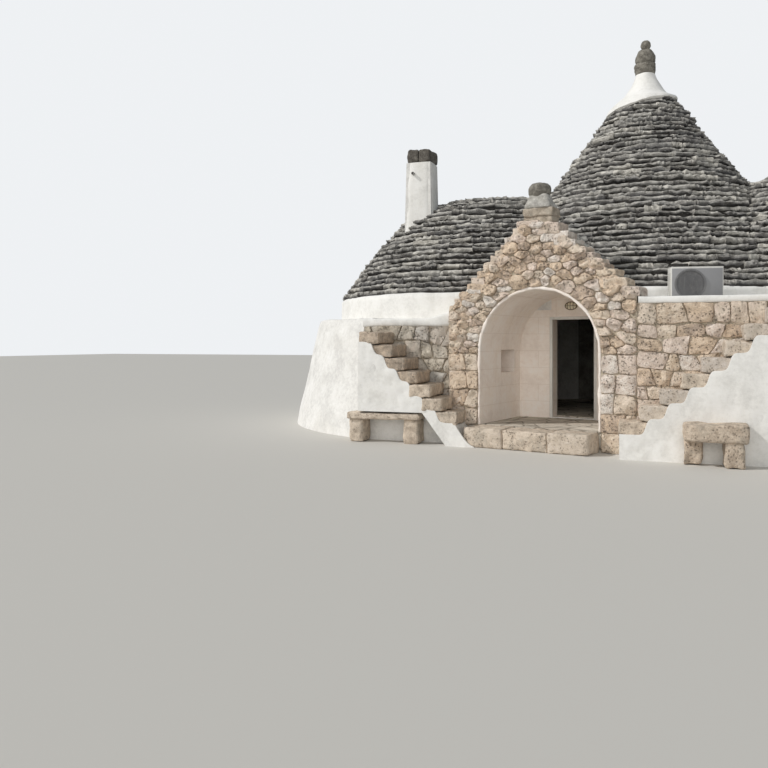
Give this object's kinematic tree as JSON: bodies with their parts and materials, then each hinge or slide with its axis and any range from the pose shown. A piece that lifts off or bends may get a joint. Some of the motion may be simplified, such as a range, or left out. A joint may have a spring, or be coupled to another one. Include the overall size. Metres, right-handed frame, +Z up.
{
  "type": "trullo house",
  "caption": "Dry-stone house with conical slate roofs on whitewashed round walls, a gabled porch niche with a hinged door, outside stairs, benches and a chimney.",
  "frame": {"origin": "on the ground under the top of the main cone, on the underside of the floor", "axes": "+X along the front walls to the right, +Y inward from the front, +Z up"},
  "size_m": [13.9, 9.1978, 7.461],
  "materials": {
    "limewash": "rough limewash",
    "rubble": "rough",
    "slate": "rough",
    "pinnacle": "weathered",
    "tufo": "rough",
    "niche_plaster": "matt limewash",
    "paving": "worn",
    "tread": "worn",
    "white_paint": "satin paint",
    "leaf_wood": "painted",
    "lamp_shell": "satin",
    "case_metal": "satin paint",
    "fan_ring": "matt",
    "hinge_iron": "dull paint",
    "pipe": "dull"
  },
  "bodies": {
    "house": {"room_floor": "paving", "main_wall_back": "limewash", "main_wall_front": "limewash", "left_wall_front": "limewash", "left_wall_back": "limewash", "right_wall_front": "limewash", "right_wall_back": "limewash", "left_wing_wall": "rubble", "left_coping": "limewash", "right_wing_wall": "rubble", "right_coping": "limewash", "main_band": "limewash", "left_band": "limewash", "right_band": "limewash", "main_roof_front": "slate", "main_roof_back": "slate", "left_roof": "slate", "right_roof": "slate", "main_cap": "limewash", "pinnacle_drum": "pinnacle", "pinnacle_bulb": "pinnacle", "pinnacle_ball": "pinnacle", "porch_left_pier": "rubble", "porch_right_pier": "rubble", "porch_gable": "rubble", "porch_haunch": "rubble", "porch_roof": "slate", "porch_lining": "niche_plaster", "porch_floor": "paving", "porch_step": "paving", "door_wall": "niche_plaster", "finial_plinth": "tufo", "finial_collar": "tufo", "finial_dome": "tufo", "door_frame": "white_paint", "door_hinges": "hinge_iron", "door_lamp": "lamp_shell", "left_treads": "tread", "left_stair_base": "limewash", "right_treads": "tread", "right_stair_base": "limewash", "right_bench": "tread", "left_bench": "tread", "chimney_stack": "limewash", "chimney_cap": "pinnacle", "chimney_pipe": "pipe", "unit_case": "case_metal", "unit_fan": "fan_ring"},
    "door": {"door_leaf": "leaf_wood"}
  },
  "joints": [
    {"name": "door_hinge", "type": "hinge", "parent": "house", "child": "door", "pos_m": [-0.72439, -2.53313, 0.328], "axis": [0, 0, 1], "range_deg": [0, 85]}
  ]
}
